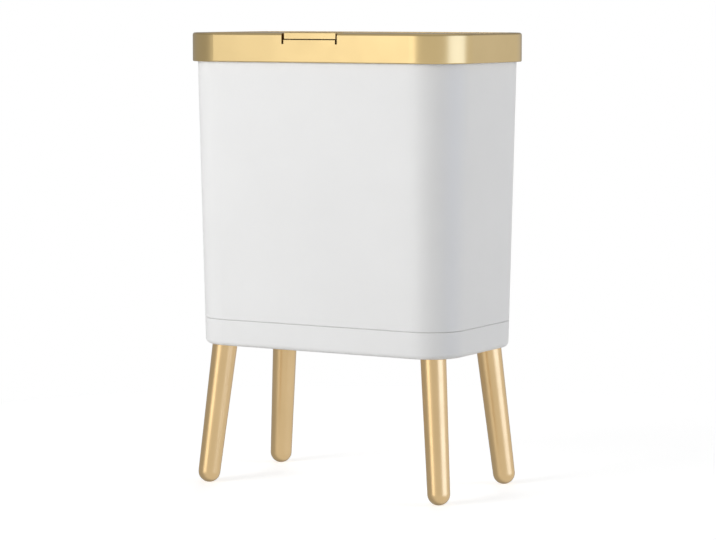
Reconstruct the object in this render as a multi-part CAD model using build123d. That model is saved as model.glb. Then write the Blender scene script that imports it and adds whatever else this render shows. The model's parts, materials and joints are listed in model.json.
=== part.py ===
from build123d import *
import math
import os

# A slim kitchen bin on four splayed legs, in millimetres, +Z up.
# The origin is on the floor under the middle of the bin, the front looks along -Y.
# A tapered bucket stands on a shallow base tray that carries the legs, and a deep rim
# lifts off it to change the bag. The rim holds a sprung lid and a press button.

# Rim band
rim_width = 330.0
rim_depth = 194.0
rim_corner = 48.0
rim_top = 481.0
band_height = 30.3
band_wall = 2.4
band_top_round = 2.6
band_bottom_round = 1.2
flange_thickness = 2.4

# Lid opening in the rim, with its well and ledge
border_side = 15.0
border_front = 18.75
border_back = 30.0
opening_corner = 32.0
opening_back_corner = 2.0
well_wall = 2.0
well_depth = 18.0
ledge_reach = 8.0
ledge_thickness = 2.0

# Ribs that tie the band to the well and rest on the bucket
seat_depth = 16.0
rib_thickness = 1.6
front_rib_xs = (-112.0, -82.0, -52.0, 52.0, 82.0, 112.0)
back_rib_xs = (-112.0, -40.0, 0.0, 40.0, 112.0)
side_rib_ys = (-40.0, 0.0, 40.0)

# Bucket
body_inset = 4.5
draft_angle = 1.3462
body_corner = 46.0
bucket_wall = 2.2
bucket_floor = 2.6
bucket_floor_round = 5.0
lip_reach = 1.3
lip_height = 3.0
spigot_depth = 8.0
spigot_gap = 0.3
spigot_blend = 8.0

# Base tray
body_bottom = 149.6
base_height = 28.4
base_wall = 2.4
base_floor = 2.6
base_edge_round = 5.5
seam_gap = 0.3
seam_bevel = 0.5
base_rib_thickness = 1.8
base_rib_ys = (-30.0, 30.0)
base_rib_xs = (-90.0, -30.0, 30.0, 90.0)

# Legs
leg_inset_x = 38.2
leg_inset_y = 35.5
leg_splay_x = 13.2
leg_splay_y = 11.9
foot_radius = 11.75
foot_flat_depth = 0.4
leg_head_radius = 13.3
leg_end_bevel = 0.6
socket_depth = 8.0
socket_gap = 0.2
socket_wall = 2.6
socket_roof = 2.5
slant_overcut = 8.0

# Threaded parts in the legs and the base
stud_radius = 4.0
stud_depth = 26.0
stud_bevel = 0.8
stud_end_gap = 0.8
thread_gap = 0.05
insert_radius = 6.0
insert_length = 10.0
insert_flange = 1.0
insert_flange_radius = 7.5
insert_wall = 2.0

# Screws that hold the base tray to the bucket, from below
screw_spread = 60.0
screw_inset_y = 31.0
screw_inset_x = 27.0
screw_radius = 2.0
screw_length = 14.0
screw_head_radius = 3.8
screw_head_height = 2.4
screw_head_bevel = 0.9
screw_gap = 0.15
screw_slot_width = 1.0
screw_slot_depth = 1.2
screw_slot_span = 4.4
screw_post_wall = 2.2
screw_seat_height = 6.5
screw_seat_floor = 2.5

# Lid
lid_gap = 1.1
lid_sink = 0.6
lid_plate = 2.4
lid_edge_round = 2.0
lid_back_corner = 6.0
lid_wall_inset = 9.5
lid_wall = 1.6
lid_wall_height = 7.0
lid_rib_xs = (-95.0, -45.0, 45.0, 95.0)
lid_rib_height = 4.0

# Lid hinge: one steel pin at each side of the back edge
hinge_inset = 65.0
hinge_radius = 3.4
hinge_sink = 0.2
hinge_pin_radius = 1.5
hinge_lug = 6.0
hinge_bay = 10.0
hinge_knuckle = 11.0
hinge_side_gap = 0.4
hinge_clear = 0.8
pin_fit = 0.02
pin_play = 0.08
pin_end_gap = 0.3

# Torsion springs on the hinge pins
lid_wire = 1.0
lid_coil_radius = 2.55
lid_coil_pitch = 1.6
lid_coil_turns = 4
lid_leg_reach = 12.0
spring_side_gap = 1.0
spring_play = 0.15
pad_width = 3.0
pad_length = 4.0

# Press button in the front of the rim
notch_width = 66.4
notch_depth = 7.0
relief_width = 2.4
relief_depth = 11.3
cap_side_gap = 2.5
cap_set_back = 1.2
cap_proud = 0.9
cap_wall = 1.8
cap_lip_gap = 1.2
cap_back_gap = 0.7
cap_round = 1.0
pocket_floor_depth = 13.6
pocket_floor = 1.8
pocket_side = 2.8
button_axis_back = 13.4
button_axis_depth = 8.0
button_pin_radius = 1.25
button_hub_radius = 3.0
bracket_thickness = 1.8
bracket_side_gap = 2.5

# Latch between the button and the lid
catch_width = 14.0
catch_room = 4.0
catch_thickness = 2.0
catch_setback = 3.75
catch_length = 23.6
tooth_reach = 1.4
tooth_lead = 2.0
tooth_height = 1.4
tooth_rake = 0.4
latch_overlap = 0.6
latch_gap = 0.3
hook_width = 16.0
hook_thickness = 2.2
hook_clear = 1.4
hook_gap = 0.8
barb_height = 3.3
barb_nose = 1.2

# Compression spring under the button
button_wire = 0.5
button_coil_radius = 2.0
button_coil_turns = 5
button_spring_setback = 7.6
spring_post_radius = 1.3
spring_post_height = 4.0

# How far a cut runs past the face that it opens
overcut = 0.1

# Places worked out from the sizes above
rim_front = -rim_depth / 2
rim_bottom = rim_top - band_height
lip_top = rim_top - seat_depth
under_flange = rim_top - flange_thickness
seam = body_bottom + base_height
bucket_underside = seam - spigot_depth
spigot_inset = base_wall + spigot_gap

opening_width = rim_width - 2 * border_side
opening_front = rim_front + border_front
opening_back = -rim_front - border_back
opening_depth = opening_back - opening_front
opening_y = (opening_back + opening_front) / 2

leg_head_x = rim_width / 2 - leg_inset_x
leg_head_y = rim_depth / 2 - leg_inset_y
foot_z = foot_radius - foot_flat_depth

lid_top = rim_top - lid_sink
lid_under = lid_top - lid_plate
hinge_x = opening_width / 2 - hinge_inset
hinge_y = opening_back - lid_gap - hinge_radius
hinge_z = lid_top - hinge_sink - hinge_radius

button_y = rim_front + button_axis_back
button_z = rim_top - button_axis_depth
button_spring_y = button_y - button_spring_setback
notch_half = notch_width / 2
notch_floor = rim_top - notch_depth
cap_half = notch_half - cap_side_gap
cap_front = rim_front + cap_set_back
cap_top = rim_top + cap_proud
cap_back = opening_front - cap_back_gap
pocket_floor_top = rim_top - pocket_floor_depth
pocket_under = pocket_floor_top - pocket_floor

catch_front = opening_front + catch_setback
catch_back = catch_front + catch_thickness
catch_tip = lid_under - catch_length
tooth_back = catch_back + tooth_reach
tooth_low = catch_tip + tooth_lead
tooth_top = tooth_low + tooth_height

# Stretches of one hinge, outwards from its inner end: lug, lid knuckle, spring bay, second lug
knuckle_start = hinge_lug + hinge_side_gap
knuckle_end = knuckle_start + hinge_knuckle
second_lug = knuckle_end + hinge_bay + hinge_side_gap
hinge_end = second_lug + hinge_lug
coil_start = knuckle_end + spring_side_gap
coil_end = coil_start + lid_coil_pitch * lid_coil_turns

leg_places = {
    "front_left": (-1, -1),
    "front_right": (1, -1),
    "rear_left": (-1, 1),
    "rear_right": (1, 1),
}
screw_places = [(-rim_width / 2 + screw_inset_x, 0.0), (rim_width / 2 - screw_inset_x, 0.0)]
for side_x, side_y in leg_places.values():
    screw_places.append((side_x * screw_spread, side_y * (rim_depth / 2 - screw_inset_y)))


def span(side, start, end):
    """The X range between two distances from the middle, on one side."""
    return sorted((side * start, side * end))


def slab(width, depth, corner, low, high):
    """An upright prism with a rounded rectangle outline."""
    return Pos(0, 0, low) * extrude(RectangleRounded(width, depth, corner), high - low)


def opening_slab(inset, low, high, back_corner):
    """An upright prism with the lid opening's outline, drawn in by an inset."""
    outline = Pos(0, opening_y) * Rectangle(opening_width - 2 * inset, opening_depth - 2 * inset)
    outline = fillet(outline.vertices().group_by(Axis.Y)[0], opening_corner - inset)
    outline = fillet(outline.vertices().group_by(Axis.Y)[-1], back_corner)
    return Pos(0, 0, low) * extrude(outline, high - low)


def block(x_low, x_high, y_low, y_high, z_low, z_high):
    """A box given by its lowest and highest corners."""
    size = Box(x_high - x_low, y_high - y_low, z_high - z_low)
    return Pos((x_low + x_high) / 2, (y_low + y_high) / 2, (z_low + z_high) / 2) * size


def rod(x_low, x_high, y, z, radius):
    """A round bar along X."""
    bar = Rot(0, 90, 0) * Cylinder(radius, x_high - x_low)
    return Pos((x_low + x_high) / 2, y, z) * bar


def post(x, y, low, high, radius):
    """An upright round bar."""
    return Pos(x, y, (low + high) / 2) * Cylinder(radius, high - low)


def bottom_edges(solid):
    """The edges of a solid's lowest face."""
    return solid.edges().group_by(Axis.Z)[0]


def top_edges(solid):
    """The edges of a solid's highest face."""
    return solid.edges().group_by(Axis.Z)[-1]


def drawn_in(z):
    """How far the draft has drawn the bin's side in at one height, from the rim's bottom down."""
    return math.tan(math.radians(draft_angle)) * (rim_bottom - z)


def tapered(low, high, low_inset, high_inset=None):
    """A length of the bin's drafted form, with an inset at each end. Its corners are cones."""
    if high_inset is None:
        high_inset = low_inset
    inset = body_inset + drawn_in(low) + low_inset
    growth = drawn_in(low) + low_inset - drawn_in(high) - high_inset
    corner = body_corner - drawn_in(low) - low_inset
    outline = RectangleRounded(rim_width - 2 * inset, rim_depth - 2 * inset, corner)
    angle = math.degrees(math.atan2(growth, high - low))
    return Pos(0, 0, low) * extrude(outline, high - low, taper=-angle)


def leg_frame(side_x, side_y):
    """The plane across a leg where it enters the base: its Z runs up the leg's axis."""
    head = Vector(side_x * leg_head_x, side_y * leg_head_y, body_bottom)
    splay = Vector(side_x * leg_splay_x, side_y * leg_splay_y, foot_z - body_bottom)
    return Plane(origin=head, x_dir=(side_x, 0, 0), z_dir=-splay)


def leg_length():
    """The distance from the middle of the foot's ball to the base's underside, along the leg."""
    return Vector(leg_splay_x, leg_splay_y, foot_z - body_bottom).length


def along_leg(side_x, side_y, radius, low, high):
    """A round bar on a leg's axis, between two distances from the base's underside."""
    return leg_frame(side_x, side_y) * post(0, 0, low, high, radius)


def make_bin_body():
    """The bucket: tapered wall, lip, floor, a spigot that enters the base, and screw bosses."""
    outer = tapered(seam, seam + seam_bevel, seam_bevel, 0)
    outer += tapered(seam + seam_bevel, lip_top, 0)
    outer += tapered(bucket_underside, seam + seam_bevel, spigot_inset)
    outer += tapered(lip_top - lip_height, lip_top, -lip_reach)
    inner_inset = spigot_inset + bucket_wall
    step = seam + spigot_blend / 2
    inside = tapered(bucket_underside + bucket_floor, step, inner_inset)
    inside = fillet(bottom_edges(inside), bucket_floor_round)
    inside += tapered(step, step + spigot_blend, inner_inset, bucket_wall)
    inside += tapered(step + spigot_blend, lip_top + overcut, bucket_wall)
    body = outer - inside
    boss_low = body_bottom + screw_seat_height
    for x, y in screw_places:
        body += post(x, y, boss_low, bucket_underside + overcut, screw_radius + screw_post_wall)
        body -= post(x, y, boss_low - overcut, boss_low + screw_length, screw_radius)
    return body


def make_base_cover():
    """The base tray: a round along its edge, leg sockets, screw seats and stiffening ribs."""
    wall_top = seam - seam_gap
    outer = tapered(body_bottom, wall_top - seam_bevel, 0)
    outer = fillet(bottom_edges(outer), base_edge_round)
    outer += tapered(wall_top - seam_bevel, wall_top, 0, seam_bevel)
    base = outer - tapered(body_bottom + base_floor, seam, base_wall)

    ribs = Part()
    for y in base_rib_ys:
        low, high = y - base_rib_thickness / 2, y + base_rib_thickness / 2
        ribs += block(-rim_width, rim_width, low, high, body_bottom, bucket_underside)
    for x in base_rib_xs:
        low, high = x - base_rib_thickness / 2, x + base_rib_thickness / 2
        ribs += block(low, high, -rim_depth, rim_depth, body_bottom, bucket_underside)
    insert_top = socket_depth + insert_length
    boss_radius = leg_head_radius + socket_gap + socket_wall
    for sides in leg_places.values():
        ribs += along_leg(*sides, boss_radius, -slant_overcut, socket_depth + socket_roof)
        ribs += along_leg(*sides, insert_radius + insert_wall, 0, insert_top)
    seat_top = body_bottom + screw_seat_height
    seat_radius = screw_head_radius + screw_gap + screw_post_wall
    boss_room = screw_radius + screw_post_wall + screw_gap
    for x, y in screw_places:
        ribs += post(x, y, body_bottom, seat_top, seat_radius)
        ribs -= post(x, y, seat_top, bucket_underside + overcut, boss_room)
    base += ribs & tapered(body_bottom + base_floor / 2, bucket_underside, base_wall / 2)

    for sides in leg_places.values():
        base -= along_leg(*sides, leg_head_radius + socket_gap, -slant_overcut, socket_depth)
        base -= along_leg(*sides, insert_radius + thread_gap, 0, insert_top + overcut)
        base -= along_leg(*sides, insert_flange_radius + thread_gap, 0, socket_depth + insert_flange)
    head_seat = seat_top - screw_seat_floor
    for x, y in screw_places:
        base -= post(x, y, body_bottom - overcut, head_seat, screw_head_radius + screw_gap)
        base -= post(x, y, body_bottom - overcut, seat_top + overcut, screw_radius + screw_gap)
    return base


def make_base_screws():
    """Six cross slot screws as one group of separate solids."""
    seat = body_bottom + screw_seat_height - screw_seat_floor
    shank_top = seat + screw_seat_floor + screw_length - stud_end_gap
    screws = []
    for x, y in screw_places:
        head = post(x, y, seat - screw_head_height, seat, screw_head_radius)
        head = chamfer(bottom_edges(head), screw_head_bevel)
        shank = post(x, y, seat, shank_top, screw_radius - thread_gap)
        screw = head + chamfer(top_edges(shank), stud_bevel)
        for turn in (0, 90):
            slot = Box(screw_slot_span, screw_slot_width, 2 * screw_slot_depth)
            screw -= Pos(x, y, seat - screw_head_height) * Rot(0, 0, turn) * slot
        screws.append(screw)
    return screws


def make_leg(side_x, side_y):
    """A tapered round leg with a ball end, cut flat where it stands, and a bore for its stud."""
    length = leg_length()
    top = length + socket_depth
    top_radius = foot_radius + (leg_head_radius - foot_radius) / length * top
    with BuildSketch(Plane.XZ) as profile:
        with BuildLine():
            Line((0, -foot_radius), (0, top))
            Line((0, top), (top_radius - leg_end_bevel, top))
            Line((top_radius - leg_end_bevel, top), (top_radius, top - leg_end_bevel))
            Line((top_radius, top - leg_end_bevel), (foot_radius, 0))
            CenterArc((0, 0), foot_radius, 0, -90)
        make_face()
    leg = revolve(profile.sketch, Axis.Z)
    leg = leg_frame(side_x, side_y) * Pos(0, 0, -length) * leg
    leg -= along_leg(side_x, side_y, stud_radius + thread_gap, socket_depth - stud_depth, top)
    return leg - block(-rim_width, rim_width, -rim_depth, rim_depth, -foot_radius, 0)


def make_leg_stud(side_x, side_y):
    """The threaded rod that joins a leg to the insert in the base."""
    low = socket_depth - stud_depth + stud_end_gap
    high = socket_depth + insert_length - stud_end_gap
    bar = post(0, 0, low, high, stud_radius)
    return leg_frame(side_x, side_y) * chamfer(bar.edges(), stud_bevel)


def make_leg_insert(side_x, side_y):
    """The flanged brass insert above a leg socket, with the hole for the leg's stud."""
    top = socket_depth + insert_length
    bar = along_leg(side_x, side_y, insert_radius, socket_depth, top)
    bar += along_leg(side_x, side_y, insert_flange_radius, socket_depth, socket_depth + insert_flange)
    return bar - along_leg(side_x, side_y, stud_radius + thread_gap, 0, top + overcut)


def hinge_bar(side, start, end, radius):
    """A round bar on the hinge axis: start and end are measured outwards from the hinge's inner end."""
    return rod(*span(side, hinge_x + start, hinge_x + end), hinge_y, hinge_z, radius)


def make_hinge_pin(side):
    """The steel pin of one lid hinge."""
    return hinge_bar(side, pin_end_gap, hinge_end - pin_end_gap, hinge_pin_radius)


def coil_point(center, axis, first, second, radius, pitch, angle):
    """A point on a coil and the direction of its wire there. The angle is in turns."""
    swing = 2 * math.pi * angle
    out = first * math.cos(swing) + second * math.sin(swing)
    along = second * math.cos(swing) - first * math.sin(swing)
    run = axis * (pitch / (2 * math.pi)) + along * radius
    return center + axis * (pitch * angle) + out * radius, run.normalized()


def biarc(start, leaving, end, arriving):
    """Two arcs that leave start in one direction and arrive at end in another."""
    chord = end - start
    a = 2 * (leaving.dot(arriving) - 1)
    b = -2 * chord.dot(leaving + arriving)
    c = chord.dot(chord)
    reach = (-b - math.sqrt(b * b - 4 * a * c)) / (2 * a)
    middle = (start + leaving * reach + end - arriving * reach) * 0.5
    first = TangentArc(start, middle, tangent=leaving)
    return [first, TangentArc(middle, end, tangent=first % 1)]


def least_gap(shape, turns, wire):
    """The least gap between one turn of a coil and the next, measured on points."""
    steps = 16
    points = [coil_point(*shape, k / steps)[0] for k in range(steps * turns + 1)]
    gaps = [(b - a).length for i, a in enumerate(points) for b in points[i + steps // 2:]]
    return min(gaps) - wire


def coil(name, shape, turns, wire, lead_in, lead_out):
    """A spring: a round wire along straight leads and biarcs of half a turn."""
    second = shape[3]
    stops = [coil_point(*shape, half / 2) for half in range(2 * turns + 1)]
    stops[0] = (stops[0][0], second)
    stops[-1] = (stops[-1][0], second)
    start = stops[0][0] - second * lead_in
    edges = [Line(start, stops[0][0])]
    for (here, out), (there, into) in zip(stops, stops[1:]):
        edges += biarc(here, out, there, into)
    edges.append(Line(stops[-1][0], stops[-1][0] + second * lead_out))
    print(name, "least gap between turns", round(least_gap(shape, turns, wire), 2), "mm")
    return sweep(Plane(origin=start, z_dir=second) * Circle(wire / 2), path=Wire(edges))


def make_lid_spring(side):
    """A torsion spring round a hinge pin: one leg under the lid, one in the rim's back wall."""
    start = Vector(side * (hinge_x + coil_start), hinge_y, hinge_z)
    shape = (start, Vector(side, 0, 0), Vector(0, 0, -1), Vector(0, 1, 0), lid_coil_radius, lid_coil_pitch)
    lead_out = opening_back + well_wall - hinge_y
    return coil("lid_spring", shape, lid_coil_turns, lid_wire, lid_leg_reach, lead_out)


def rim_ribs():
    """The ribs between the band and the well, whose undersides rest on the bucket's lip."""
    ribs = Part()
    half = rib_thickness / 2
    for x in front_rib_xs:
        ribs += block(x - half, x + half, -rim_depth, 0, lip_top, under_flange)
    for x in back_rib_xs:
        ribs += block(x - half, x + half, 0, rim_depth, lip_top, under_flange)
    for y in side_rib_ys:
        ribs += block(-rim_width, rim_width, y - half, y + half, lip_top, under_flange)
    return ribs


def button_pocket():
    """The box under the button: a floor, two side walls, and two brackets with an eye each."""
    half = notch_half + pocket_side
    pocket = block(-half, half, -rim_depth, opening_front, pocket_under, pocket_floor_top)
    bracket = cap_half - cap_wall - bracket_side_gap
    front, back = button_y - button_hub_radius, button_y + button_hub_radius
    for side in (-1, 1):
        wall = span(side, half, half - rib_thickness)
        pocket += block(*wall, -rim_depth, opening_front, pocket_under, under_flange)
        eye = span(side, bracket, bracket - bracket_thickness)
        pocket += block(*eye, front, back, pocket_floor_top, button_z)
        pocket += rod(*eye, button_y, button_z, button_hub_radius)
    pocket += post(0, button_spring_y, pocket_floor_top, pocket_floor_top + spring_post_height,
                   spring_post_radius)
    return pocket


def button_room():
    """What is cut for the button: the notch, a relief slot at each side, and the hook's way down."""
    room = block(-notch_half, notch_half, -rim_depth, opening_front + overcut, notch_floor,
                 rim_top + overcut)
    inner_face = rim_front + band_wall
    for side in (-1, 1):
        slot = span(side, notch_half, notch_half - relief_width)
        room += block(*slot, -rim_depth, inner_face + overcut, rim_top - relief_depth, rim_top)
    hook_half = hook_width / 2 + hook_gap
    hook_front = button_y - hook_thickness - hook_gap
    room += block(-hook_half, hook_half, hook_front, opening_front - well_wall,
                  pocket_under - overcut, pocket_floor_top + overcut)
    return room


def hinge_lugs(side):
    """The two lugs of one lid hinge, on the well's back wall."""
    lugs = Part()
    for start, end in ((0, hinge_lug), (second_lug, hinge_end)):
        lugs += hinge_bar(side, start, end, hinge_radius)
        lugs += block(*span(side, hinge_x + start, hinge_x + end), hinge_y, opening_back + well_wall / 2,
                      hinge_z - hinge_radius, hinge_z + hinge_radius)
    return lugs


def make_rim_frame():
    """The rim: band, top flange, well with a ledge for the lid, ribs, hinge lugs and button pocket."""
    outer = slab(rim_width, rim_depth, rim_corner, rim_bottom, rim_top)
    outer = fillet(top_edges(outer), band_top_round)
    outer = fillet(bottom_edges(outer), band_bottom_round)
    wall = 2 * band_wall
    corner = rim_corner - band_wall
    rim = outer - slab(rim_width - wall, rim_depth - wall, corner, rim_bottom - overcut, under_flange)
    rim += opening_slab(-well_wall, rim_top - well_depth, under_flange, opening_back_corner + well_wall)
    channel = slab(rim_width - band_wall, rim_depth - band_wall, rim_corner - band_wall / 2,
                   rim_bottom, rim_top - flange_thickness / 2)
    rim += rim_ribs() & channel
    rim -= block(-notch_half, notch_half, rim_front + band_wall, opening_front - well_wall,
                 lip_top, under_flange)
    rim += button_pocket() & channel

    rim -= opening_slab(0, rim_bottom, rim_top + overcut, opening_back_corner)
    ledge = opening_slab(-well_wall / 2, lid_under - ledge_thickness, lid_under, opening_back_corner)
    ledge -= opening_slab(ledge_reach, rim_bottom, rim_top, opening_back_corner)
    ledge -= block(-rim_width, rim_width, hinge_y - ledge_reach, rim_depth, rim_bottom, rim_top)
    catch_half = catch_width / 2 + catch_room
    ledge -= block(-catch_half, catch_half, -rim_depth, 0, rim_bottom, rim_top)
    rim += ledge

    for side in (-1, 1):
        rim += hinge_lugs(side)
        rim -= hinge_bar(side, -overcut, hinge_end + overcut, hinge_pin_radius + pin_fit)
        wire_place = Pos(side * (hinge_x + coil_end), opening_back, hinge_z - lid_coil_radius)
        rim -= wire_place * Rot(90, 0, 0) * Cylinder(lid_wire / 2 + spring_play, 4 * well_wall)
    rim -= button_room()
    return rim - rod(-notch_half, notch_half, button_y, button_z, button_pin_radius + pin_fit)


def lid_catch():
    """The catch under the lid's front edge, with a tooth that looks backwards."""
    with BuildSketch(Plane.YZ) as profile:
        with BuildLine():
            Polyline(
                (catch_front, lid_under),
                (catch_front, catch_tip),
                (catch_back, catch_tip),
                (tooth_back, tooth_low),
                (tooth_back, tooth_top),
                (catch_back, tooth_top - tooth_rake),
                (catch_back, lid_under),
                close=True,
            )
        make_face()
    return extrude(profile.sketch, catch_width / 2, both=True)


def make_lid():
    """The lid: plate, stiffening wall and ribs, hinge knuckles, spring pads and the catch."""
    plate = opening_slab(lid_gap, lid_under, lid_top, lid_back_corner)
    plate = fillet(top_edges(plate), lid_edge_round)
    wall_low = lid_under - lid_wall_height
    rib_low = lid_under - lid_rib_height
    half = lid_wall / 2
    within_wall = opening_slab(lid_wall_inset, wall_low, lid_under, lid_back_corner)
    wall = within_wall - opening_slab(lid_wall_inset + lid_wall, wall_low, lid_under, lid_back_corner)
    ribs = block(-rim_width, rim_width, -half, half, rib_low, lid_under)
    for x in lid_rib_xs:
        ribs += block(x - half, x + half, -rim_depth, rim_depth, rib_low, lid_under)
    lid = plate + wall + (ribs & within_wall)

    swing = hinge_radius + hinge_clear
    wire_room = lid_wire / 2 + spring_play
    wire_top = hinge_z - lid_coil_radius + wire_room
    pad_front = hinge_y - lid_leg_reach - spring_side_gap
    for side in (-1, 1):
        zone = span(side, hinge_x - hinge_side_gap, hinge_x + hinge_end + hinge_side_gap)
        lid -= block(*zone, hinge_y - swing, rim_depth, rim_bottom, rim_top)
        knuckle = span(side, hinge_x + knuckle_start, hinge_x + knuckle_end)
        lid += block(*knuckle, hinge_y - swing - overcut, hinge_y, lid_under, hinge_z + hinge_radius)
        lid += hinge_bar(side, knuckle_start, knuckle_end, hinge_radius)
        lid -= hinge_bar(side, 0, hinge_end, hinge_pin_radius + pin_play)
        wire_x = side * (hinge_x + coil_start)
        lid -= block(wire_x - lid_wire, wire_x + lid_wire, pad_front, hinge_y, wall_low, wire_top)
        lid += block(wire_x - pad_width / 2, wire_x + pad_width / 2, pad_front, pad_front + pad_length,
                     wire_top, lid_under)
    return lid + lid_catch()


def button_hook():
    """The hook under the button: down, back below the lid's catch, and up to a barb over its tooth."""
    arm_front = button_y - hook_thickness / 2
    arm_back = arm_front + hook_thickness
    arm_top = cap_top - cap_wall / 2
    foot_top = catch_tip - hook_clear
    foot_low = foot_top - hook_thickness
    leg_front = tooth_back + hook_gap
    leg_back = leg_front + hook_thickness
    barb_tip = tooth_back - latch_overlap
    barb_low = tooth_top + latch_gap
    with BuildSketch(Plane.YZ) as profile:
        with BuildLine():
            Polyline(
                (arm_front, arm_top),
                (arm_front, foot_low),
                (leg_back, foot_low),
                (leg_back, barb_low + barb_height),
                (leg_front, barb_low + barb_height),
                (barb_tip, barb_low + barb_nose),
                (barb_tip, barb_low),
                (leg_front, barb_low - tooth_rake),
                (leg_front, foot_top),
                (arm_back, foot_top),
                (arm_back, arm_top),
                close=True,
            )
        make_face()
    return extrude(profile.sketch, hook_width / 2, both=True)


def make_push_button():
    """The button: a hollow cap with cheeks, a hub on its pin, and the hook that holds the lid."""
    cap_bottom = notch_floor + cap_lip_gap
    cap = block(-cap_half, cap_half, cap_front, cap_back, cap_bottom, cap_top)
    cap = fillet(top_edges(cap), cap_round)
    cap -= block(-cap_half + cap_wall, cap_half - cap_wall, cap_front + cap_wall, cap_back - cap_wall,
                 cap_bottom - overcut, cap_top - cap_wall)
    front, back = button_y - button_hub_radius, button_y + button_hub_radius
    for side in (-1, 1):
        cheek = span(side, cap_half, cap_half - cap_wall)
        cap += rod(*cheek, button_y, button_z, button_hub_radius)
        cap += block(*cheek, front, back, button_z, cap_bottom + overcut)
    hub = rod(-hook_width / 2, hook_width / 2, button_y, button_z, button_hub_radius)
    button = cap + hub + button_hook()
    return button - rod(-notch_half, notch_half, button_y, button_z, button_pin_radius + pin_play)


def make_button_pin():
    """The steel pin through the button's cheeks and hub."""
    half = cap_half - pin_end_gap
    return rod(-half, half, button_y, button_z, button_pin_radius)


def make_button_spring():
    """The compression spring that lifts the button's front."""
    room = button_wire / 2 + spring_play
    low = pocket_floor_top + room
    high = cap_top - cap_wall - room
    pitch = (high - low) / button_coil_turns
    start = Vector(0, button_spring_y, low)
    shape = (start, Vector(0, 0, 1), Vector(1, 0, 0), Vector(0, 1, 0), button_coil_radius, pitch)
    return coil("button_spring", shape, button_coil_turns, button_wire, button_wire, button_wire)


def write_node(name, shape):
    """Write one sub-part, or a group of like solids, as its own STEP file."""
    solids = shape if isinstance(shape, list) else [shape]
    pieces = [solid for item in solids for solid in item.solids()]
    node = pieces[0] if len(pieces) == 1 else Compound(children=pieces)
    node.label = name
    export_step(node, os.path.join("parts", name + ".step"))


os.makedirs("parts", exist_ok=True)
write_node("bin_body", make_bin_body())
write_node("base_cover", make_base_cover())
write_node("base_screws", make_base_screws())
for place, sides in leg_places.items():
    write_node("leg_" + place, make_leg(*sides))
    write_node("leg_stud_" + place, make_leg_stud(*sides))
    write_node("leg_insert_" + place, make_leg_insert(*sides))
write_node("rim_frame", make_rim_frame())
write_node("lid", make_lid())
for side_name, side in (("left", -1), ("right", 1)):
    write_node("hinge_pin_" + side_name, make_hinge_pin(side))
    write_node("lid_spring_" + side_name, make_lid_spring(side))
write_node("push_button", make_push_button())
write_node("button_pin", make_button_pin())
write_node("button_spring", make_button_spring())
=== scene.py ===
import bpy
import json
import math
import numpy as np
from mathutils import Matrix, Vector


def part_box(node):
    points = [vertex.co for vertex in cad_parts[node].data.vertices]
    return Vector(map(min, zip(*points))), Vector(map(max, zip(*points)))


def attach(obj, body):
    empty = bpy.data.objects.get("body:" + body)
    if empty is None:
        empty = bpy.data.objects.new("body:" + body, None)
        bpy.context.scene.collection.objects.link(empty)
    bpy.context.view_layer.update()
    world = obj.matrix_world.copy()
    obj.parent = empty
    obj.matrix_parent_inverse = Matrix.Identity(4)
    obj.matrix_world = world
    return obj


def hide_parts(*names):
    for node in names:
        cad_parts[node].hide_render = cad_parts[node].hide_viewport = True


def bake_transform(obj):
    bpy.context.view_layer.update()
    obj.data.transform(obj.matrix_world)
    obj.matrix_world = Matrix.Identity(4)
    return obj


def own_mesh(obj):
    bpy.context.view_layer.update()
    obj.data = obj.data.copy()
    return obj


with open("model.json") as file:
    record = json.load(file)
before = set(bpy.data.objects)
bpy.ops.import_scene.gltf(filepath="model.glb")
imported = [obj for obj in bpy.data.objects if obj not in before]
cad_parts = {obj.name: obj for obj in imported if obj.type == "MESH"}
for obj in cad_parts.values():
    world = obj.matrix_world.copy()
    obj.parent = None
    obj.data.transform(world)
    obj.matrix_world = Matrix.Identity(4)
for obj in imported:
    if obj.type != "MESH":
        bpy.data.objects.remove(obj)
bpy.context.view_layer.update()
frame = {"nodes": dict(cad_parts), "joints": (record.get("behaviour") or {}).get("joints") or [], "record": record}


# The bucket: a deep tapered tub of white polypropylene, injection moulded in one piece.
# Its outside has the fine satin grain of a spark-eroded mould and hardly any gloss.


def make_grain_group():
    """A node group with a fine even grain and slow clouds.

    Both are noise fields on the object's own coordinates, from 0 to 1, and their sizes are given
    as repeats per metre.
    """
    group = bpy.data.node_groups.new("moulded_grain", "ShaderNodeTree")
    for socket in ("Grain Scale", "Cloud Scale"):
        group.interface.new_socket(socket, in_out="INPUT", socket_type="NodeSocketFloat")
    for socket in ("Grain", "Clouds"):
        group.interface.new_socket(socket, in_out="OUTPUT", socket_type="NodeSocketFloat")
    sizes = group.nodes.new("NodeGroupInput")
    results = group.nodes.new("NodeGroupOutput")
    place = group.nodes.new("ShaderNodeTexCoord")
    for socket, detail in (("Grain", 1.0), ("Clouds", 3.0)):
        field = group.nodes.new("ShaderNodeTexNoise")
        field.inputs["Detail"].default_value = detail
        scale = sizes.outputs["Grain Scale" if socket == "Grain" else "Cloud Scale"]
        group.links.new(scale, field.inputs["Scale"])
        group.links.new(place.outputs["Object"], field.inputs["Vector"])
        group.links.new(field.outputs["Fac"], results.inputs[socket])
    return group


grain_group = make_grain_group()


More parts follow.
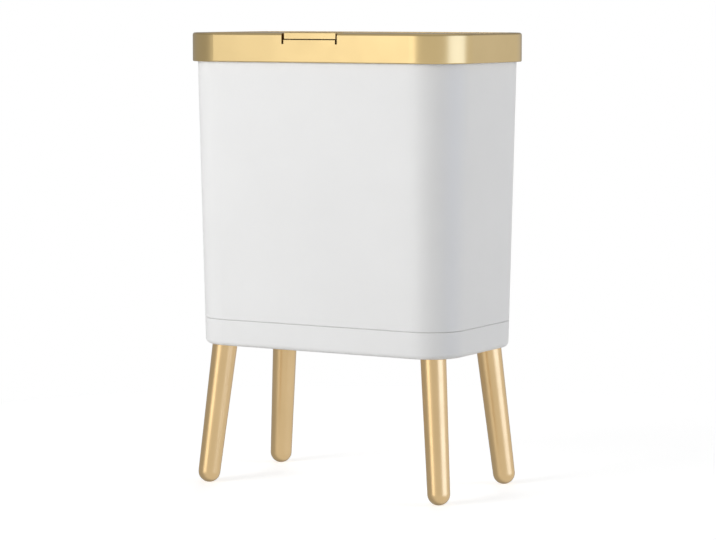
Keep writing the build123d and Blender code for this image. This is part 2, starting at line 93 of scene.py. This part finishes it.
def new_finish(name, tones, gloss, grain, tone_clouds, gloss_clouds, metallic=0.0, coat=(0.0, 0.03)):
    """A node material: two tones and two roughnesses that drift into each other, and a grain.

    tones is the pair of base colours and gloss the pair of roughnesses, and their clouds are in
    repeats per metre. grain is the repeats per metre, the depth in metres and the strength of the
    bump. coat is the weight and the roughness of a clear coat.
    """
    grain_repeats, grain_depth, grain_strength = grain
    drift = (0.35, 0.65)
    material = bpy.data.materials.new(name)
    material.use_nodes = True
    tree = material.node_tree
    tree.nodes.clear()
    shader = tree.nodes.new("ShaderNodeBsdfPrincipled")
    output = tree.nodes.new("ShaderNodeOutputMaterial")
    tree.links.new(shader.outputs["BSDF"], output.inputs["Surface"])
    shader.inputs["Metallic"].default_value = metallic
    shader.inputs["Coat Weight"].default_value = coat[0]
    shader.inputs["Coat Roughness"].default_value = coat[1]

    def grained(cloud_repeats):
        node = tree.nodes.new("ShaderNodeGroup")
        node.node_tree = grain_group
        node.inputs["Grain Scale"].default_value = grain_repeats
        node.inputs["Cloud Scale"].default_value = cloud_repeats
        return node

    def between(source, low, high):
        node = tree.nodes.new("ShaderNodeValToRGB")
        for element, position, color in zip(node.color_ramp.elements, drift, (low, high)):
            element.position = position
            element.color = (*color, 1.0)
        tree.links.new(source, node.inputs["Fac"])
        return node.outputs["Color"]

    tone_field = grained(tone_clouds)
    gloss_field = grained(gloss_clouds)
    tree.links.new(between(tone_field.outputs["Clouds"], *tones), shader.inputs["Base Color"])
    greys = [(value, value, value) for value in gloss]
    tree.links.new(between(gloss_field.outputs["Clouds"], *greys), shader.inputs["Roughness"])
    bump = tree.nodes.new("ShaderNodeBump")
    bump.inputs["Distance"].default_value = grain_depth
    bump.inputs["Strength"].default_value = grain_strength
    tree.links.new(tone_field.outputs["Grain"], bump.inputs["Height"])
    tree.links.new(bump.outputs["Normal"], shader.inputs["Normal"])
    return material


def dress(material, *nodes):
    """Give these CAD nodes one material all over."""
    for node in nodes:
        mesh = frame["nodes"][node].data
        mesh.materials.clear()
        mesh.materials.append(material)
        mesh.polygons.foreach_set("material_index", np.zeros(len(mesh.polygons), dtype=np.int32))


bin_plastic = new_finish(
    "bin_plastic", tones=((0.88, 0.88, 0.875), (0.90, 0.90, 0.895)), gloss=(0.42, 0.48),
    grain=(2600.0, 0.00004, 0.35), tone_clouds=9.0, gloss_clouds=30.0)
dress(bin_plastic, "bin_body")


# The base tray: the same white plastic, a shallow tray under the bucket that holds the legs.
# Six pan head screws from below pull it up against the bucket at a fine seam.

tray_round = 0.0055
tray_tolerance = 0.00002


def tray_mesh():
    """The tray with an even round along its lower edge, where the ends of its ribs stood proud.

    On each side the round is an arc about a line inside the wall. A point further from that line
    than the arc's radius is drawn straight towards the line, on to the arc, and the faces that
    meet there are shaded along the arc's own directions.
    """
    mesh = frame["nodes"]["base_cover"].data.copy()
    points = np.empty((len(mesh.vertices), 3), dtype=np.float32)
    normals = np.empty((len(mesh.loops), 3), dtype=np.float32)
    corners = np.empty(len(mesh.loops), dtype=np.int32)
    mesh.vertices.foreach_get("co", points.ravel())
    mesh.corner_normals.foreach_get("vector", normals.ravel())
    mesh.loops.foreach_get("vertex_index", corners)
    underside = points[:, 2].min()
    flat = points[:, 2] < underside + tray_tolerance
    for side in (0, 1):
        edge = np.abs(points[flat, side]).max()
        away = np.zeros_like(points)
        away[:, side] = points[:, side] - np.sign(points[:, side]) * edge
        away[:, 2] = points[:, 2] - underside - tray_round
        distance = np.linalg.norm(away, axis=1, keepdims=True)
        around = (np.abs(points[:, side]) > edge) & (away[:, 2] < 0)
        proud = around & (distance[:, 0] > tray_round + tray_tolerance)
        points[proud] += (away * (tray_round / distance - 1))[proud]
        shaded = np.repeat(proud[corners].reshape(-1, 3).any(axis=1), 3)
        normals[shaded] = (away / distance)[corners[shaded]]
    mesh.vertices.foreach_set("co", points.ravel())
    mesh.normals_split_custom_set(normals.tolist())
    mesh.update()
    return mesh


tray = bpy.data.objects.new("base_tray", tray_mesh())
tray.data.materials.clear()
tray.data.materials.append(bin_plastic)
bpy.context.scene.collection.objects.link(tray)
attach(tray, "bin")
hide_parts("base_cover")

screw_steel = new_finish(
    "screw_steel", tones=((0.58, 0.59, 0.61), (0.68, 0.68, 0.68)), gloss=(0.26, 0.38),
    grain=(900.0, 0.00002, 0.2), tone_clouds=60.0, gloss_clouds=150.0, metallic=1.0)


def ring_angles(sides):
    """Evenly spaced angles round a full turn."""
    return np.arange(sides) * (2 * math.pi / sides)


def add_skin(name, grids, closed_profile=False, crease=math.radians(40)):
    """A mesh object from grids of points: each ring joins the next, and rings close on themselves.

    A grid has the shape (rings, sides, 3), with its rings running up an axis and its sides
    anticlockwise seen from above, so that the faces look outwards. Its first and last ring close
    in a fan on their middle. With closed_profile the last ring joins the first one instead.
    Edges sharper than the crease angle stay sharp.
    """
    points, faces, first = [], [], 0
    for grid in grids:
        rings, sides = grid.shape[:2]
        last = rings if closed_profile else rings - 1
        ring, side = np.meshgrid(np.arange(last), np.arange(sides), indexing="ij")
        here, above = ring * sides, (ring + 1) % rings * sides
        after = (side + 1) % sides
        quads = np.stack([here + side, here + after, above + after, above + side], axis=-1)
        faces += (first + quads.reshape(-1, 4)).tolist()
        points.append(grid.reshape(-1, 3))
        first += rings * sides
        if not closed_profile:
            turn = np.arange(sides)
            after = (turn + 1) % sides
            low, high = first - rings * sides, first - sides
            faces += np.stack([low + after, low + turn, np.full(sides, first)], axis=1).tolist()
            faces += np.stack([high + turn, high + after, np.full(sides, first + 1)], axis=1).tolist()
            points.append(grid[[0, -1]].mean(axis=1))
            first += 2
    mesh = bpy.data.meshes.new(name)
    mesh.from_pydata(np.vstack(points).tolist(), [], faces)
    mesh.polygons.foreach_set("use_smooth", np.ones(len(mesh.polygons), dtype=bool))
    mesh.set_sharp_from_angle(angle=crease)
    piece = bpy.data.objects.new(name, mesh)
    bpy.context.scene.collection.objects.link(piece)
    return piece


def thread(along, angle, low, high, radius, pitch, depth, run_out):
    """The radius of a threaded bar at a height and an angle.

    A triangle wave of height over pitch less the angle in turns, rounded at its crest and root,
    cut into the bar by depth, and faded out at both ends over run_out.
    """
    wave = np.abs(((along / pitch - angle / (2 * math.pi)) % 1.0) * 2 - 1)
    wave = wave * wave * (3 - 2 * wave)
    fade = np.clip((along - low) / run_out, 0, 1) * np.clip((high - along) / run_out, 0, 1)
    return radius - depth * wave * fade


def around_axis(radius, angle, rise):
    """The grid of points at a radius, an angle and a height, with the axis along Z."""
    return np.stack([radius * np.cos(angle), radius * np.sin(angle), rise + 0 * radius], axis=-1)


screw_low, screw_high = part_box("base_screws")
screw_spread = 0.060
screw_head_radius = 0.0038
screw_head_height = 0.0024
screw_crown = 0.8
screw_recess_reach = 0.0022
screw_recess_half_width = 0.00055
screw_recess_depth = 0.0013
screw_recess_slope = 0.0002
screw_shank_radius = 0.00195
screw_pitch = 0.00125
screw_thread_depth = 0.00035
screw_run_out = 0.0008
screw_point_radius = 0.35 * screw_shank_radius
screw_point_slope = 1.2
screw_sides = 48
screw_head_rings = 30
screw_shank_rings = 150
screw_first_ring = 0.02
row_y = screw_high.y - screw_head_radius
end_x = screw_high.x - screw_head_radius
screw_places = [(x, y) for x in (-screw_spread, screw_spread) for y in (-row_y, row_y)]
screw_places += [(-end_x, 0.0), (end_x, 0.0)]


def pan_head_screw(x, y):
    """One screw, head down: a crowned head with a cross recess, a threaded shank and a point.

    The head's crown is a flat superellipse of the radius. The recess is a cross: its depth is full
    where the smaller of |x| and |y| is under the slot's half width and the larger under its
    reach, and falls to nothing over a short slope. The point is a cone.
    """
    angle = ring_angles(screw_sides)
    swell = np.linspace(screw_first_ring, math.pi / 2, screw_head_rings)[:, None]
    radius = screw_head_radius * np.sin(swell)
    across, along = radius * np.cos(angle), radius * np.sin(angle)
    crown = screw_head_height * (1 - (1 - (radius / screw_head_radius) ** 4) ** 0.5) * screw_crown
    narrow = np.minimum(np.abs(across), np.abs(along))
    wide = np.maximum(np.abs(across), np.abs(along))
    recess = np.clip((screw_recess_half_width - narrow) / screw_recess_slope + 1, 0, 1)
    recess = recess * np.clip((screw_recess_reach - wide) / screw_recess_slope, 0, 1)
    height = screw_low.z + crown + recess * screw_recess_depth
    head = np.stack([across, along, height + 0 * across], axis=-1)

    seat = screw_low.z + screw_head_height
    tip = screw_high.z
    rise = np.concatenate([[seat], np.linspace(seat, tip, screw_shank_rings)])[:, None]
    shank = thread(rise, angle, seat, tip, screw_shank_radius, screw_pitch, screw_thread_depth,
                   screw_run_out)
    shank = np.minimum(shank, screw_point_radius + (tip - rise) * screw_point_slope)
    shank[0] = screw_head_radius
    return np.vstack([head, around_axis(shank, angle, rise)]) + np.array([x, y, 0.0])


screws = add_skin("base_screw_set", [pan_head_screw(x, y) for x, y in screw_places])
screws.data.materials.append(screw_steel)
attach(screws, "bin")
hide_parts("base_screws")


# The four legs: tapered round legs with a ball end, under a light satin gold lacquer.
# Each screws up into the base on a threaded steel stud that runs in a knurled brass insert.

leg_names = ("front_left", "front_right", "rear_left", "rear_right")

leg_lacquer = new_finish(
    "leg_lacquer", tones=((0.79, 0.56, 0.28), (0.83, 0.59, 0.30)), gloss=(0.30, 0.35),
    grain=(3200.0, 0.00002, 0.05), tone_clouds=14.0, gloss_clouds=45.0, metallic=1.0,
    coat=(0.25, 0.2))
dress(leg_lacquer, *["leg_" + name for name in leg_names])

insert_brass = new_finish(
    "insert_brass", tones=((0.70, 0.54, 0.26), (0.78, 0.62, 0.33)), gloss=(0.24, 0.34),
    grain=(1200.0, 0.00002, 0.2), tone_clouds=90.0, gloss_clouds=200.0, metallic=1.0)

ball_radius = 0.01175
ball_flat = 0.0004
mounts = {mount["name"]: Vector(mount["pos_m"]) for mount in frame["record"]["mounts"]}


def middle(node):
    """The middle of a CAD node's box."""
    low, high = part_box(node)
    return (low + high) / 2


def leg_axis(name):
    """The direction of a leg, from the middle of its ball to the middle of its stud."""
    ball = mounts["foot_" + name] + Vector((0, 0, ball_radius - ball_flat))
    return (middle("leg_stud_" + name) - ball).normalized()


def along_axis(grid, center, axis):
    """The grid turned so that its Z runs along an axis, with its origin at the center."""
    side = axis.orthogonal().normalized()
    turn = np.array([side, axis.cross(side), axis])
    return grid @ turn + np.array(center)


stud_radius = 0.004
stud_length = 0.0344
stud_pitch = 0.00125
stud_thread_depth = 0.0006
stud_run_out = 0.001
stud_bevel = 0.0008
stud_sides = 32
stud_rings = 260


def leg_stud(name):
    """A threaded rod along the leg: a bar with the thread's radius, bevelled at both ends."""
    angle = ring_angles(stud_sides)
    half = stud_length / 2
    rise = np.linspace(-half, half, stud_rings)[:, None]
    radius = thread(rise, angle, -half, half, stud_radius, stud_pitch, stud_thread_depth, stud_run_out)
    radius = np.minimum(radius, stud_radius - stud_bevel + (half - np.abs(rise)))
    return along_axis(around_axis(radius, angle, rise), middle("leg_stud_" + name), leg_axis(name))


insert_length = 0.010
insert_radius = 0.006
insert_flange = 0.001
insert_flange_radius = 0.0075
insert_bore = 0.00405
insert_bevel = 0.0002
insert_lead = 0.0004
insert_lead_depth = 0.0005
insert_groove_depth = 0.0004
insert_sides = 96
insert_wall_rings = 30
insert_bore_rings = 4
knurl_count = 32
knurl_lead = 0.0018
knurl_depth = 0.0003
knurl_bands = ((0.0032, 0.0021), (0.0077, 0.0016))
knurl_end_power = 6
knurl_trace = 0.01


def insert_profile():
    """The heights and radii round the section of an insert: flange, wall, top and bore."""
    wall = np.linspace(insert_flange, insert_length - insert_lead, insert_wall_rings)
    bore = np.linspace(insert_length, 0.0, insert_bore_rings)
    profile = [(0.0, insert_bore + insert_bevel),
               (0.0, insert_flange_radius - insert_bevel),
               (insert_bevel, insert_flange_radius),
               (insert_flange - insert_bevel, insert_flange_radius)]
    profile += [(height, insert_radius) for height in wall]
    profile += [(insert_length, insert_radius - insert_lead_depth),
                (insert_length, insert_bore + insert_bevel)]
    profile += [(height, insert_bore) for height in bore]
    rise, out = np.array(profile).T[:, :, None]
    return rise, out


def leg_insert(name):
    """A flanged bush: a closed profile carried round, with two knurled bands on its wall.

    The knurl is the smaller of two triangle waves that run round the bush in opposite slants. It
    fades out at the ends of its bands by a high power of the distance from a band's middle, and
    the wall is turned down in a groove between the bands.
    """
    angle = ring_angles(insert_sides)
    rise, out = insert_profile()
    on_wall = out == insert_radius
    turns = angle / (2 * math.pi) * knurl_count
    slant = rise / knurl_lead
    waves = [np.abs(((turns + way * slant) % 1.0) * 2 - 1) for way in (-1, 1)]
    knurled = sum(np.clip(1 - np.abs((rise - height) / half_length) ** knurl_end_power, 0, 1)
                  for height, half_length in knurl_bands) * on_wall
    groove = (knurled < knurl_trace) * on_wall
    radius = out - knurl_depth * knurled * np.minimum(*waves) - insert_groove_depth * groove

    axis = leg_axis(name)
    stud_middle = middle("leg_stud_" + name)
    lean = math.sqrt(1 - axis.z ** 2)
    mid_height = middle("leg_insert_" + name).z + (insert_flange_radius - insert_radius) / 2 * lean
    flange_face = stud_middle + axis * ((mid_height - stud_middle.z) / axis.z - insert_length / 2)
    return along_axis(around_axis(radius, angle, rise), flange_face, axis)


for name in leg_names:
    stud = add_skin("stud_" + name, [leg_stud(name)])
    stud.data.materials.append(screw_steel)
    insert = add_skin("insert_" + name, [leg_insert(name)], closed_profile=True)
    insert.data.materials.append(insert_brass)
    for piece, slot, node in ((stud, "steel", "leg_stud_"), (insert, "insert_brass", "leg_insert_")):
        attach(piece, "bin")
        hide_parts(node + name)


# The rim: a deep band with rounded corners and a flange round the lid's opening.
# It is moulded plastic under a satin gold lacquer, and lifts off the bucket.

rim_lacquer = new_finish(
    "rim_lacquer", tones=((0.69, 0.515, 0.245), (0.72, 0.54, 0.26)), gloss=(0.28, 0.31),
    grain=(3200.0, 0.00002, 0.05), tone_clouds=14.0, gloss_clouds=45.0, metallic=1.0,
    coat=(0.15, 0.08))
dress(rim_lacquer, "rim_frame")


# The lid: a flush gold plate that swings up on two steel pins at its back edge.
# Torsion springs on the pins throw it open when the button lets its catch go.

dress(rim_lacquer, "lid")
dress(screw_steel, "hinge_pin_left", "hinge_pin_right")

spring_steel = new_finish(
    "spring_steel", tones=((0.42, 0.42, 0.44), (0.55, 0.55, 0.56)), gloss=(0.22, 0.32),
    grain=(1500.0, 0.00001, 0.2), tone_clouds=120.0, gloss_clouds=300.0, metallic=1.0)

hinge = next(joint for joint in frame["joints"] if joint["name"] == "lid_hinge")
hinge_line = np.array(hinge["pos_m"])
lid_wire = 0.001
lid_coil_turns = 4
coil_steps = 48
coil_easing = 0.25
coil_lead_steps = 8
wire_sides = 14
wire_end_rings = 3


def coil_line(turns, radius, travel, lead_in, lead_out):
    """The middle line of a coil along Z: a straight lead, the turns, and a straight lead.

    Round the turns a point swings at the radius, and climbs at a rate that rises from nothing
    over the first quarter turn and falls back to nothing over the last, so that both leads leave
    the coil square to its axis. Also gives the direction from the axis at each point.
    """
    turn = np.linspace(0, turns, coil_steps * turns + 1)
    rate = np.clip(turn / coil_easing, 0, 1) * np.clip((turns - turn) / coil_easing, 0, 1)
    climb = np.cumsum(rate)
    climb = travel * (climb - climb[0]) / (climb[-1] - climb[0])
    swing = 2 * math.pi * turn
    out = np.stack([np.cos(swing), np.sin(swing), 0 * swing], axis=1)
    line = out * radius + np.stack([0 * swing, 0 * swing, climb], axis=1)
    lead = np.linspace(1, 0, coil_lead_steps + 1)[:-1, None] * np.array([0.0, 1.0, 0.0])
    line = np.vstack([line[0] - lead_in * lead, line, line[-1] + lead_out * lead[::-1]])
    first, last = (np.repeat(end, coil_lead_steps, axis=0) for end in (out[:1], out[-1:]))
    return line, np.vstack([first, out, last])


def round_wire(line, out, radius):
    """A round wire along a line, with round ends.

    Each ring lies in the plane of the outward direction and of its cross product with the line's
    own direction. At both ends a few smaller rings follow a quarter circle of the wire's radius.
    """
    ahead = np.gradient(line, axis=0)
    ahead /= np.linalg.norm(ahead, axis=1, keepdims=True)
    out = out - ahead * np.sum(out * ahead, axis=1, keepdims=True)
    out /= np.linalg.norm(out, axis=1, keepdims=True)
    angle = ring_angles(wire_sides)[:, None]
    around = out[:, None] * np.cos(angle) + np.cross(ahead, out)[:, None] * np.sin(angle)
    bend = np.linspace(0, math.pi / 2, wire_end_rings + 2)[1:-1, None, None]
    start = line[0] - ahead[0] * radius * np.sin(bend[::-1]) + around[0] * radius * np.cos(bend[::-1])
    end = line[-1] + ahead[-1] * radius * np.sin(bend) + around[-1] * radius * np.cos(bend)
    return np.concatenate([start, line[:, None] + around * radius, end])


for side, name in ((-1, "lid_spring_left"), (1, "lid_spring_right")):
    low, high = (np.array(corner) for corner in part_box(name))
    coil_radius = (high[2] - low[2] - lid_wire) / 2
    travel = high[0] - low[0] - lid_wire
    lead_in = hinge_line[1] - low[1] - lid_wire / 2
    lead_out = high[1] - hinge_line[1] - lid_wire / 2
    line, out = coil_line(lid_coil_turns, coil_radius, travel, lead_in, lead_out)
    inner_end = low[0] + lid_wire / 2 if side > 0 else high[0] - lid_wire / 2
    start = np.array([inner_end, *hinge_line[1:]])
    turn = np.array([(0, 0, -1), (0, 1, 0), (side, 0, 0)])
    grid = round_wire(line @ turn + start, out @ turn, lid_wire / 2)
    spring = add_skin(name + "_wire", [grid])
    spring.data.materials.append(spring_steel)
    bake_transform(spring)
    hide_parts(name)


# The press button: a gold cap in a notch of the rim, rocking on a steel pin.
# A small compression spring on a post lifts its front, and is squeezed as it is pressed.

dress(rim_lacquer, "push_button")
dress(screw_steel, "button_pin")

button_wire = 0.0005
button_coil_turns = 5
low, high = (np.array(corner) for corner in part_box("button_spring"))
center = (low + high) / 2
coil_radius = (high[0] - low[0] - button_wire) / 2
travel = high[2] - low[2] - button_wire
line, out = coil_line(button_coil_turns, coil_radius, travel, lead_in=button_wire, lead_out=button_wire)
start = np.array([center[0], center[1], low[2] + button_wire / 2])
grid = round_wire(line + start, out, button_wire / 2)
spring = add_skin("button_spring_wire", [grid])
spring.data.materials.append(spring_steel)
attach(spring, "rim")
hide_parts("button_spring")
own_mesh(spring)


# The studio: a pale floor and backdrop, soft lights, and the camera of the photograph.

floor_mesh = bpy.data.meshes.new("studio_floor")
half_floor = 3.0
floor_mesh.from_pydata(
    [(x * half_floor, y * half_floor, 0) for x, y in ((-1, -1), (1, -1), (1, 1), (-1, 1))],
    [], [(0, 1, 2, 3)])
floor = bpy.data.objects.new("studio_floor", floor_mesh)
bpy.context.scene.collection.objects.link(floor)


def glow(tree, strength):
    """Plain white light of one strength, where 1 is white."""
    white = tree.nodes.new("ShaderNodeEmission")
    white.inputs["Strength"].default_value = strength
    return white.outputs["Emission"]


def shown_pale(tree, surface, mirrored, pale):
    """One look for the camera, one for mirror and clear rays, and the surface for the rest."""
    ray = tree.nodes.new("ShaderNodeLightPath")
    either = tree.nodes.new("ShaderNodeMath")
    either.operation = "MAXIMUM"
    tree.links.new(ray.outputs["Is Glossy Ray"], either.inputs[0])
    tree.links.new(ray.outputs["Is Transmission Ray"], either.inputs[1])
    reflected = tree.nodes.new("ShaderNodeMixShader")
    tree.links.new(either.outputs["Value"], reflected.inputs["Fac"])
    tree.links.new(surface, reflected.inputs[1])
    tree.links.new(mirrored, reflected.inputs[2])
    seen = tree.nodes.new("ShaderNodeMixShader")
    tree.links.new(ray.outputs["Is Camera Ray"], seen.inputs["Fac"])
    tree.links.new(reflected.outputs["Shader"], seen.inputs[1])
    tree.links.new(pale, seen.inputs[2])
    return seen.outputs["Shader"]


def grey_ramp(tree, source, stops):
    """A grey that runs between the given stops as the source goes from 0 to 1."""
    node = tree.nodes.new("ShaderNodeValToRGB")
    elements = node.color_ramp.elements
    while len(elements) < len(stops):
        elements.new(0.5)
    for element, (position, grey) in zip(elements, stops):
        element.position = position
        element.color = (grey, grey, grey, 1.0)
    tree.links.new(source, node.inputs["Fac"])
    return node.outputs["Color"]


def round_the_room(tree, place, stops):
    """A grey that changes with the azimuth of a place: 0 in front of the bin, 90 on its right.

    The radial gradient goes from 0 to 1 as the azimuth goes from -90 to 270 degrees.
    """
    turn = tree.nodes.new("ShaderNodeTexGradient")
    turn.gradient_type = "RADIAL"
    tree.links.new(place, turn.inputs["Vector"])
    shares = [((azimuth + 90) / 360, grey) for azimuth, grey in stops]
    return grey_ramp(tree, turn.outputs["Fac"], shares)


# To the camera the floor is white far off. Near the bin it is lit and lifted, up to white where it
# is open, so that it keeps the bin's soft shadow. Mirror rays pass through it.
floor_lift = 0.55
shadow_reach = 0.75
floor_material = bpy.data.materials.new("studio_floor")
floor_material.use_nodes = True
tree = floor_material.node_tree
shader = tree.nodes["Principled BSDF"]
shader.inputs["Base Color"].default_value = (0.85, 0.85, 0.85, 1.0)
shader.inputs["Roughness"].default_value = 0.7
passed = tree.nodes.new("ShaderNodeBsdfTransparent")
lifted = tree.nodes.new("ShaderNodeAddShader")
tree.links.new(shader.outputs["BSDF"], lifted.inputs[0])
tree.links.new(glow(tree, floor_lift), lifted.inputs[1])
place = tree.nodes.new("ShaderNodeTexCoord")
shrunk = tree.nodes.new("ShaderNodeMapping")
shrunk.inputs["Scale"].default_value = [1 / shadow_reach] * 3
tree.links.new(place.outputs["Object"], shrunk.inputs["Vector"])
nearness = tree.nodes.new("ShaderNodeTexGradient")
nearness.gradient_type = "SPHERICAL"
tree.links.new(shrunk.outputs["Vector"], nearness.inputs["Vector"])
lit_share = grey_ramp(tree, nearness.outputs["Fac"], [(0.0, 0.0), (0.4, 1.0)])
pale = tree.nodes.new("ShaderNodeMixShader")
tree.links.new(lit_share, pale.inputs["Fac"])
tree.links.new(glow(tree, 1.0), pale.inputs[1])
tree.links.new(lifted.outputs["Shader"], pale.inputs[2])
surface = shown_pale(tree, shader.outputs["BSDF"], passed.outputs["BSDF"], pale.outputs["Shader"])
tree.links.new(surface, tree.nodes["Material Output"].inputs["Surface"])
floor_mesh.materials.append(floor_material)

# The room's light is strongest near the horizon. To the camera the room is white, and reflections
# show walls and a ceiling in greys of their own.
world = bpy.data.worlds.new("studio")
bpy.context.scene.world = world
world.use_nodes = True
tree = world.node_tree
tree.nodes.clear()
direction = tree.nodes.new("ShaderNodeTexCoord")
parts = tree.nodes.new("ShaderNodeSeparateXYZ")
tree.links.new(direction.outputs["Generated"], parts.inputs["Vector"])
room_light = tree.nodes.new("ShaderNodeBackground")
sky = grey_ramp(tree, parts.outputs["Z"], [(0.0, 0.45), (0.3, 0.43), (0.75, 0.22)])
tree.links.new(sky, room_light.inputs["Color"])
backdrop = tree.nodes.new("ShaderNodeBackground")
walls = round_the_room(tree, direction.outputs["Generated"], [
    (-90, 0.46), (-50, 0.46), (-30, 0.62), (-16, 0.78),
    (160, 0.78), (190, 0.38), (230, 0.38), (270, 0.46)])
ceiling = grey_ramp(tree, parts.outputs["Z"], [(0.3, 0.34), (0.6, 0.34), (0.77, 0.52), (1.0, 0.62)])
ceiling_share = grey_ramp(tree, parts.outputs["Z"], [(0.15, 0.0), (0.4, 1.0)])
room = tree.nodes.new("ShaderNodeMix")
room.data_type = "RGBA"
tree.links.new(ceiling_share, room.inputs["Factor"])
tree.links.new(walls, room.inputs["A"])
tree.links.new(ceiling, room.inputs["B"])
tree.links.new(room.outputs["Result"], backdrop.inputs["Color"])
output = tree.nodes.new("ShaderNodeOutputWorld")
surface = shown_pale(
    tree, room_light.outputs["Background"], backdrop.outputs["Background"], glow(tree, 1.0))
tree.links.new(surface, output.inputs["Surface"])

bin_middle = Vector((0, 0, 0.24))


def softbox(name, azimuth, distance, height, width, tall, power, mirrored=True):
    """A rectangular light at an azimuth from the front, aimed at the bin's middle.

    One that isn't mirrored is left out of reflections.
    """
    light = bpy.data.lights.new(name, "AREA")
    light.shape = "RECTANGLE"
    light.size = width
    light.size_y = tall
    light.energy = power
    lamp = bpy.data.objects.new(name, light)
    turn = math.radians(azimuth)
    lamp.location = (distance * math.sin(turn), -distance * math.cos(turn), height)
    lamp.rotation_euler = (bin_middle - lamp.location).to_track_quat("-Z", "Y").to_euler()
    lamp.visible_glossy = mirrored
    bpy.context.scene.collection.objects.link(lamp)
    return lamp


softbox("key_light", azimuth=-21.5, distance=2.6, height=0.55, width=1.2, tall=1.9, power=8.5)
softbox("fill_light", azimuth=-27.0, distance=2.6, height=0.9, width=1.2, tall=1.6, power=30.0,
        mirrored=False)
softbox("side_light", azimuth=115.0, distance=2.1, height=0.6, width=0.9, tall=1.6, power=14.2,
        mirrored=False)
softbox("rear_light", azimuth=205.0, distance=2.6, height=0.9, width=1.2, tall=1.6, power=17.0,
        mirrored=False)

# A bluish window on the right is seen in reflections alone, and lights the rim's corner.
window = softbox("side_window", azimuth=92.5, distance=2.0, height=0.5, width=1.7, tall=1.7, power=14.5)
window.data.color = (0.45, 0.60, 1.0)
window.visible_diffuse = False

camera_azimuth = math.radians(30.048)
camera_pitch = math.radians(5.533)
camera_distance = 2.9042
camera_target = Vector((0.0015, 0.0009, 0.2289))
lens = bpy.data.cameras.new("camera")
lens.sensor_width = 36.0
lens.lens = 137.08
lens.clip_end = 20.0
camera = bpy.data.objects.new("camera", lens)
camera.rotation_euler = (math.pi / 2 - camera_pitch, 0.0, camera_azimuth)
camera.location = camera_target + camera_distance * Vector((
    math.sin(camera_azimuth) * math.cos(camera_pitch),
    -math.cos(camera_azimuth) * math.cos(camera_pitch),
    math.sin(camera_pitch)))
bpy.context.scene.collection.objects.link(camera)
bpy.context.scene.camera = camera
bpy.context.scene.view_settings.view_transform = "Standard"
